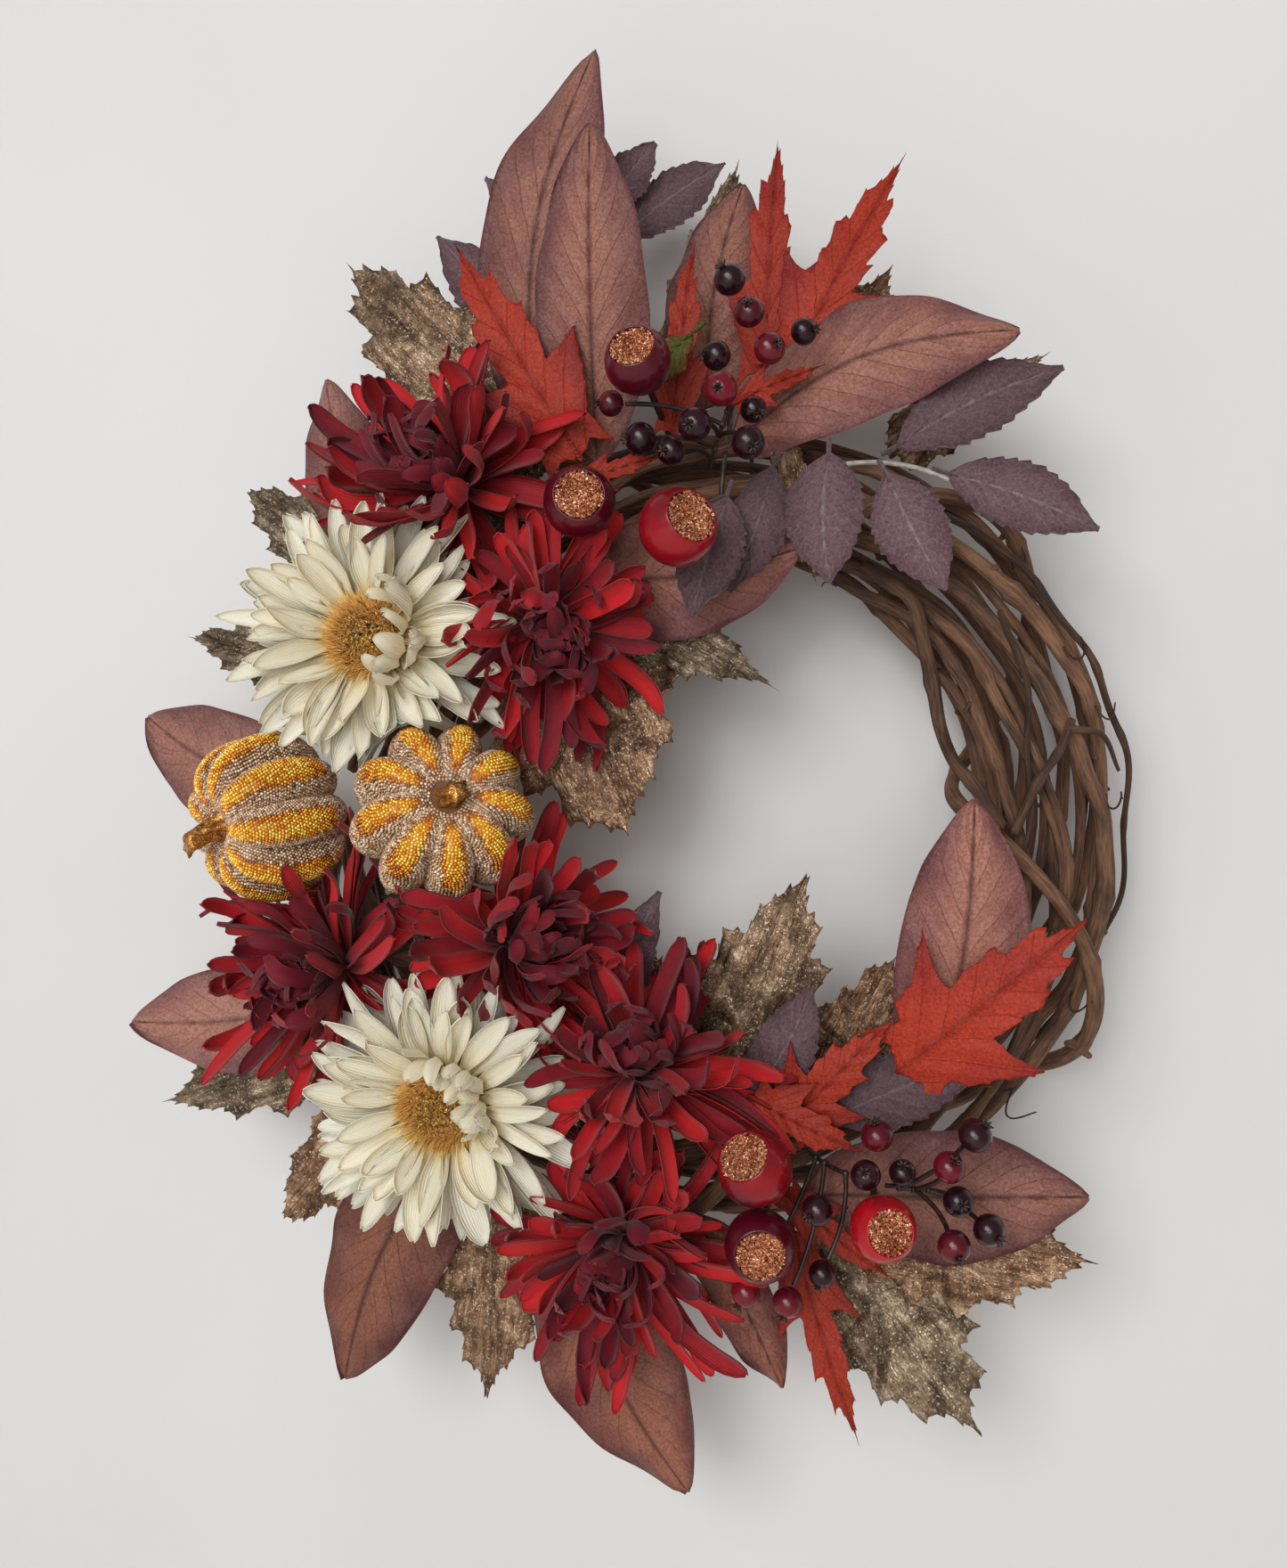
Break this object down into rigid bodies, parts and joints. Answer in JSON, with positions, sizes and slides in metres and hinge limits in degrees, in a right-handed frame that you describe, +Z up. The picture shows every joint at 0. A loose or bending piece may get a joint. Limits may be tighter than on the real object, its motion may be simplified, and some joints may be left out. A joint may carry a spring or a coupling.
{
  "type": "door wreath",
  "caption": "Grapevine ring dressed on its left side with silk flowers, leaf sprays, beaded pumpkins, rose hips and berries, hung by a wire eye.",
  "frame": {"origin": "top of the hanging eye, where the door hook carries the wreath", "axes": "+Z up, -Y the way the wreath faces, +Y towards the door"},
  "size_m": [0.436, 0.1461, 0.5853],
  "materials": {
    "vine_bark": "matte",
    "hanging_wire": "satin",
    "mum_petal": "matte",
    "flower_stem": "matte",
    "daisy_petal": "matte",
    "daisy_disc": "matte",
    "pumpkin_beads": "gloss",
    "copper_glitter": "gloss",
    "hip_lacquer": "gloss",
    "twig": "satin",
    "berry_lacquer": "gloss",
    "magnolia_leaf": "satin",
    "glitter_leaf": "gloss",
    "purple_leaf": "matte",
    "maple_leaf": "matte",
    "green_leaf": "matte",
    "spray_stem": "matte"
  },
  "bodies": {
    "root": {"berries_bottom": "berry_lacquer", "berries_top": "berry_lacquer", "berry_crowns": "berry_lacquer", "berry_twigs_bottom": "twig", "berry_twigs_top": "twig", "binding_vine": "vine_bark", "core_vines": "vine_bark", "daisy_1_disc": "daisy_disc", "daisy_1_petals": "daisy_petal", "daisy_1_stem": "flower_stem", "daisy_2_disc": "daisy_disc", "daisy_2_petals": "daisy_petal", "daisy_2_stem": "flower_stem", "glitter_leaves_inner": "glitter_leaf", "glitter_leaves_left": "glitter_leaf", "glitter_leaves_right": "glitter_leaf", "glitter_leaves_top": "glitter_leaf", "green_leaves": "green_leaf", "hanging_loop": "hanging_wire", "hip_mouths": "copper_glitter", "hip_shells_bottom": "hip_lacquer", "hip_shells_top": "hip_lacquer", "hip_stems": "twig", "magnolia_leaves_bottom": "magnolia_leaf", "magnolia_leaves_left": "magnolia_leaf", "magnolia_leaves_right": "magnolia_leaf", "magnolia_leaves_top": "magnolia_leaf", "maple_leaves_lower": "maple_leaf", "maple_leaves_top": "maple_leaf", "mum_1_petals": "mum_petal", "mum_1_stem": "flower_stem", "mum_2_petals": "mum_petal", "mum_2_stem": "flower_stem", "mum_3_petals": "mum_petal", "mum_3_stem": "flower_stem", "mum_4_petals": "mum_petal", "mum_4_stem": "flower_stem", "mum_5_petals": "mum_petal", "mum_5_stem": "flower_stem", "mum_6_petals": "mum_petal", "mum_6_stem": "flower_stem", "pumpkin_1_shell": "pumpkin_beads", "pumpkin_1_stem": "copper_glitter", "pumpkin_2_shell": "pumpkin_beads", "pumpkin_2_stem": "copper_glitter", "purple_leaves_lower": "purple_leaf", "purple_leaves_right": "purple_leaf", "purple_leaves_top": "purple_leaf", "spray_stems": "spray_stem", "vine_01": "vine_bark", "vine_02": "vine_bark", "vine_03": "vine_bark", "vine_04": "vine_bark", "vine_05": "vine_bark", "vine_06": "vine_bark", "vine_07": "vine_bark", "vine_08": "vine_bark", "vine_09": "vine_bark", "vine_10": "vine_bark", "vine_tendrils": "vine_bark"}
  },
  "joints": []
}
